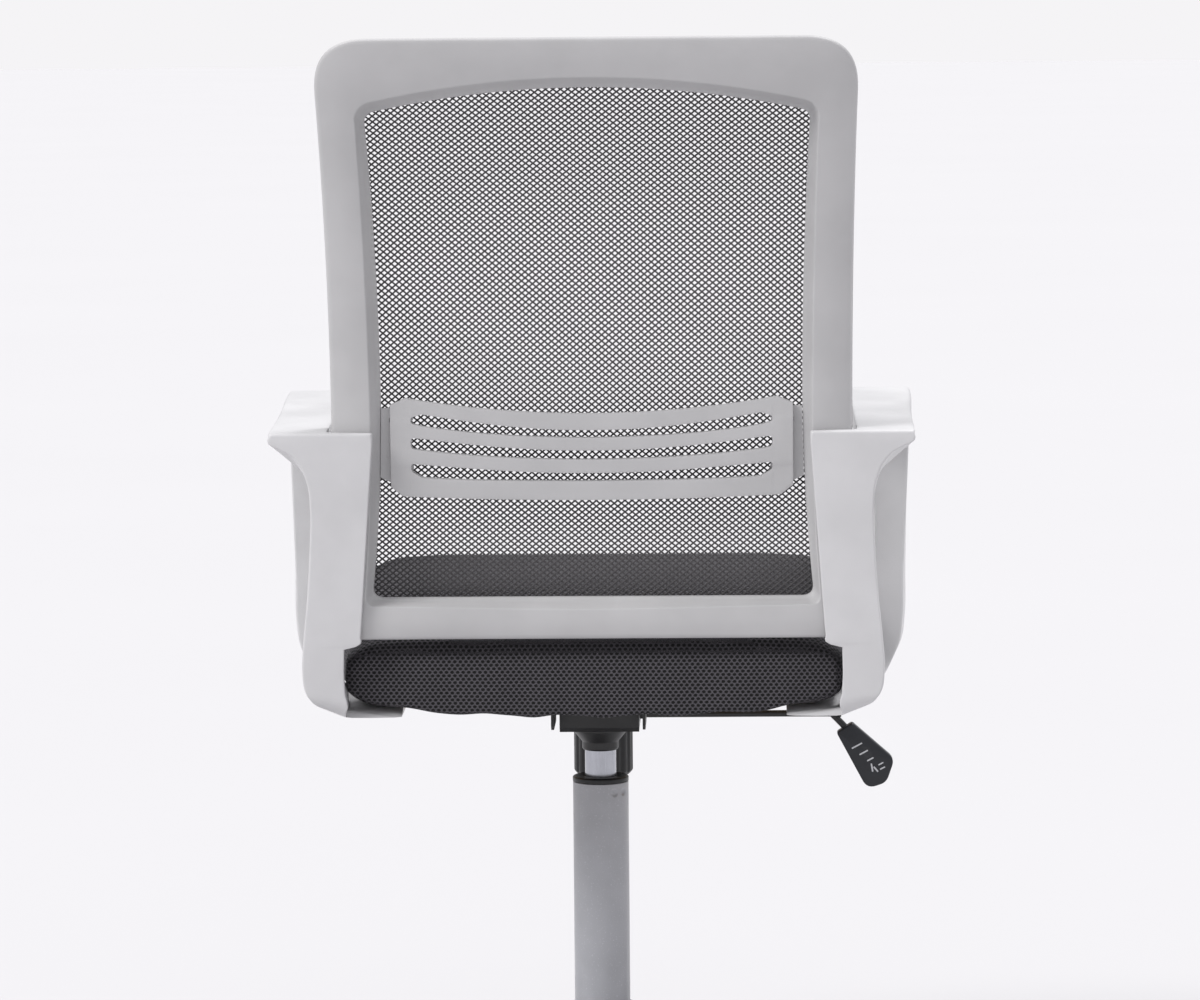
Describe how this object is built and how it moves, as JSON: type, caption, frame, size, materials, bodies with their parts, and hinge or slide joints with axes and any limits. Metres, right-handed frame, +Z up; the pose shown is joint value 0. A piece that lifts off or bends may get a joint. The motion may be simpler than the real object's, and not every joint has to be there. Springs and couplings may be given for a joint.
{
  "type": "swivel chair",
  "caption": "Swivel task chair with a net back, closed-loop arms, tilt mechanism, gas column and star base on twin-wheel castors.",
  "frame": {"origin": "on the floor under the gas column's axis, which is the middle of the chair's outline", "axes": "+Z up, +Y the way the sitter faces, +X to the sitter's right"},
  "size_m": [0.6136, 0.6229, 1],
  "materials": {
    "light_grey_plastic": "light grey moulded nylon, fine matt grain",
    "back_grey_plastic": "light grey moulded nylon, fine matt grain",
    "black_plastic": "black moulded plastic",
    "black_nylon": "black glass-filled nylon, matt",
    "charcoal_fabric": "charcoal air mesh fabric over foam",
    "back_net": "dark grey open knitted net",
    "column_grey": "grey powder-coated steel tube",
    "black_steel": "black powder-coated steel",
    "chrome": "ground and chromed steel",
    "zinc_steel": "zinc-plated steel",
    "plywood": "moulded plywood",
    "wheel_grey": "dark grey nylon wheel"
  },
  "bodies": {
    "base": {"star_base": "black_nylon", "column_tube": "column_grey", "column_ring": "black_plastic", "guide_bush": "black_plastic", "thrust_bearing": "zinc_steel", "retaining_clip": "black_steel"},
    "piston": {"piston_rod": "zinc_steel"},
    "mechanism": {"gas_cylinder": "chrome", "mechanism_housing": "black_steel", "taper_socket": "black_steel", "tilt_axle": "zinc_steel", "tension_spring": "zinc_steel"},
    "button": {"release_button": "black_plastic"},
    "lever_slide": {"lever_collar": "black_plastic"},
    "lever": {"lever_rod": "black_steel", "lever_paddle": "black_plastic"},
    "tension": {"tension_bolt": "zinc_steel"},
    "tension_cup": {"spring_cup": "zinc_steel"},
    "knob": {"tension_knob": "black_plastic"},
    "seat": {"seat_plate": "black_steel", "seat_board": "plywood", "seat_cushion": "charcoal_fabric", "arm_left": "light_grey_plastic", "arm_right": "light_grey_plastic", "arm_bolt_left_rear": "zinc_steel", "arm_bolt_left_front": "zinc_steel", "arm_bolt_right_rear": "zinc_steel", "arm_bolt_right_front": "zinc_steel", "frame_bolt_left": "zinc_steel", "frame_bolt_right": "zinc_steel", "back_frame": "back_grey_plastic", "net_rim": "back_grey_plastic", "back_net": "back_net"},
    "lumbar": {"lumbar_support": "back_grey_plastic"},
    "castor_1": {"castor_1_stem": "zinc_steel", "castor_1_hood": "black_nylon", "castor_1_axle": "zinc_steel"},
    "castor_1_left": {"castor_1_wheel_left": "wheel_grey"},
    "castor_1_right": {"castor_1_wheel_right": "wheel_grey"},
    "castor_2": {"castor_2_stem": "zinc_steel", "castor_2_hood": "black_nylon", "castor_2_axle": "zinc_steel"},
    "castor_2_left": {"castor_2_wheel_left": "wheel_grey"},
    "castor_2_right": {"castor_2_wheel_right": "wheel_grey"},
    "castor_3": {"castor_3_stem": "zinc_steel", "castor_3_hood": "black_nylon", "castor_3_axle": "zinc_steel"},
    "castor_3_left": {"castor_3_wheel_left": "wheel_grey"},
    "castor_3_right": {"castor_3_wheel_right": "wheel_grey"},
    "castor_4": {"castor_4_stem": "zinc_steel", "castor_4_hood": "black_nylon", "castor_4_axle": "zinc_steel"},
    "castor_4_left": {"castor_4_wheel_left": "wheel_grey"},
    "castor_4_right": {"castor_4_wheel_right": "wheel_grey"},
    "castor_5": {"castor_5_stem": "zinc_steel", "castor_5_hood": "black_nylon", "castor_5_axle": "zinc_steel"},
    "castor_5_left": {"castor_5_wheel_left": "wheel_grey"},
    "castor_5_right": {"castor_5_wheel_right": "wheel_grey"}
  },
  "joints": [
    {"name": "seat_swivel", "type": "hinge", "parent": "base", "child": "piston", "pos_m": [0, 0, 0.0868], "axis": [0, 0, 1], "continuous": true},
    {"name": "seat_height", "type": "slide", "parent": "piston", "child": "mechanism", "axis": [0, 0, 1], "range_m": [-0.015, 0.085]},
    {"name": "seat_tilt", "type": "hinge", "parent": "mechanism", "child": "seat", "pos_m": [0, 0.055, 0.4], "axis": [1, 0, 0], "range_deg": [0, 10], "stiffness_Nm_per_rad": 80, "springref_deg": -20.05},
    {"name": "button_travel", "type": "slide", "parent": "mechanism", "child": "button", "axis": [0, 0, 1], "range_m": [-0.0036, 0]},
    {"name": "lever_pull", "type": "slide", "parent": "mechanism", "child": "lever_slide", "axis": [1, 0, 0], "range_m": [0, 0.01]},
    {"name": "lever_lift", "type": "hinge", "parent": "lever_slide", "child": "lever", "pos_m": [0.0355, 0.03, 0.386], "axis": [0, -1, 0], "range_deg": [0, 5], "stiffness_Nm_per_rad": 1.5, "springref_deg": -8.59},
    {"name": "bolt_lift", "type": "slide", "parent": "mechanism", "child": "tension", "axis": [0, 0, 1], "range_m": [0, 0.0095], "deforming": ["tension_spring"]},
    {"name": "cup_travel", "type": "slide", "parent": "tension", "child": "tension_cup", "axis": [0, 0, 1], "range_m": [0, 0.005]},
    {"name": "knob_turn", "type": "hinge", "parent": "tension_cup", "child": "knob", "pos_m": [0, 0.105, 0.32], "axis": [0, 0, 1], "range_deg": [0, 1080]},
    {"name": "lumbar_height", "type": "slide", "parent": "seat", "child": "lumbar", "axis": [0, -0.0795, 0.9968], "range_m": [-0.015, 0.015]},
    {"name": "castor_1_swivel", "type": "hinge", "parent": "base", "child": "castor_1", "pos_m": [0, 0.3, 0.07], "axis": [0, 0, 1], "continuous": true},
    {"name": "castor_1_left_roll", "type": "hinge", "parent": "castor_1", "child": "castor_1_left", "pos_m": [0, 0.282, 0.025], "axis": [1, 0, 0], "continuous": true},
    {"name": "castor_1_right_roll", "type": "hinge", "parent": "castor_1", "child": "castor_1_right", "pos_m": [0, 0.282, 0.025], "axis": [1, 0, 0], "continuous": true},
    {"name": "castor_2_swivel", "type": "hinge", "parent": "base", "child": "castor_2", "pos_m": [-0.28532, 0.0927, 0.07], "axis": [0, 0, 1], "continuous": true},
    {"name": "castor_2_left_roll", "type": "hinge", "parent": "castor_2", "child": "castor_2_left", "pos_m": [-0.28532, 0.0747, 0.025], "axis": [1, 0, 0], "continuous": true},
    {"name": "castor_2_right_roll", "type": "hinge", "parent": "castor_2", "child": "castor_2_right", "pos_m": [-0.28532, 0.0747, 0.025], "axis": [1, 0, 0], "continuous": true},
    {"name": "castor_3_swivel", "type": "hinge", "parent": "base", "child": "castor_3", "pos_m": [-0.17634, -0.24271, 0.07], "axis": [0, 0, 1], "continuous": true},
    {"name": "castor_3_left_roll", "type": "hinge", "parent": "castor_3", "child": "castor_3_left", "pos_m": [-0.17634, -0.26071, 0.025], "axis": [1, 0, 0], "continuous": true},
    {"name": "castor_3_right_roll", "type": "hinge", "parent": "castor_3", "child": "castor_3_right", "pos_m": [-0.17634, -0.26071, 0.025], "axis": [1, 0, 0], "continuous": true},
    {"name": "castor_4_swivel", "type": "hinge", "parent": "base", "child": "castor_4", "pos_m": [0.17634, -0.24271, 0.07], "axis": [0, 0, 1], "continuous": true},
    {"name": "castor_4_left_roll", "type": "hinge", "parent": "castor_4", "child": "castor_4_left", "pos_m": [0.17634, -0.26071, 0.025], "axis": [1, 0, 0], "continuous": true},
    {"name": "castor_4_right_roll", "type": "hinge", "parent": "castor_4", "child": "castor_4_right", "pos_m": [0.17634, -0.26071, 0.025], "axis": [1, 0, 0], "continuous": true},
    {"name": "castor_5_swivel", "type": "hinge", "parent": "base", "child": "castor_5", "pos_m": [0.28532, 0.0927, 0.07], "axis": [0, 0, 1], "continuous": true},
    {"name": "castor_5_left_roll", "type": "hinge", "parent": "castor_5", "child": "castor_5_left", "pos_m": [0.28532, 0.0747, 0.025], "axis": [1, 0, 0], "continuous": true},
    {"name": "castor_5_right_roll", "type": "hinge", "parent": "castor_5", "child": "castor_5_right", "pos_m": [0.28532, 0.0747, 0.025], "axis": [1, 0, 0], "continuous": true}
  ],
  "couplings": [
    {"joint": "button_travel", "follows": "lever_lift", "m_per_rad": -0.0365},
    {"joint": "bolt_lift", "follows": "seat_tilt", "m_per_rad": 0.05},
    {"joint": "cup_travel", "follows": "knob_turn", "m_per_rad": 0.0002387}
  ]
}
